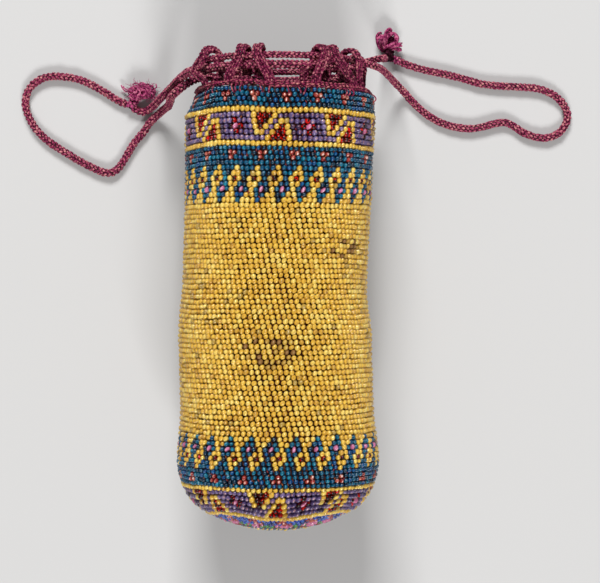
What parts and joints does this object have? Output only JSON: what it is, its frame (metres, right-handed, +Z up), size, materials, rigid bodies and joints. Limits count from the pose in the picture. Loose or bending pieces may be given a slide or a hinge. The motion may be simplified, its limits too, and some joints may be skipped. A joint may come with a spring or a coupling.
{
  "type": "drawstring bag",
  "caption": "Small tubular bead-crochet drawstring bag lying on its side, with bands of blue, yellow and purple beads and knotted silk drawstrings.",
  "frame": {"origin": "centre of the bag's footprint, on the surface that it lies on, without the free drawstrings and their knots", "axes": "+Y along the bag towards its mouth, +X to its right as seen from above, +Z up"},
  "size_m": [0.183, 0.1646, 0.0631],
  "materials": {
    "silk_ground": "crocheted silk thread, tan to mauve brown",
    "bead_blue": "clear teal and blue glass seed beads",
    "bead_yellow": "opaque yellow glass seed beads, softly worn",
    "bead_purple": "milky purple glass seed beads",
    "bead_cobalt": "clear cobalt glass seed beads",
    "silk_edging": "crocheted burgundy silk",
    "silk_loops": "crocheted burgundy silk cord",
    "silk_cord": "braided burgundy silk cord with tan flecks",
    "silk_knot": "knotted and frayed burgundy silk"
  },
  "bodies": {
    "root": {"crochet_ground": "silk_ground", "beads_rim_blue": "bead_blue", "beads_upper_line": "bead_yellow", "beads_upper_purple": "bead_purple", "beads_under_purple_line": "bead_yellow", "beads_upper_border": "bead_blue", "beads_yellow_field": "bead_yellow", "beads_lower_border": "bead_blue", "beads_lower_line": "bead_yellow", "beads_lower_purple": "bead_purple", "beads_base_line": "bead_yellow", "beads_base": "bead_cobalt", "rim_edging": "silk_edging", "casing_loop_01": "silk_loops", "casing_loop_02": "silk_loops", "casing_loop_03": "silk_loops", "casing_loop_04": "silk_loops", "casing_loop_05": "silk_loops", "casing_loop_06": "silk_loops", "casing_loop_07": "silk_loops", "casing_loop_08": "silk_loops", "casing_loop_09": "silk_loops", "casing_loop_10": "silk_loops", "casing_loop_11": "silk_loops", "casing_loop_12": "silk_loops", "drawstring_left": "silk_cord", "drawstring_right": "silk_cord", "knot_left": "silk_knot", "knot_right": "silk_knot"}
  },
  "joints": []
}
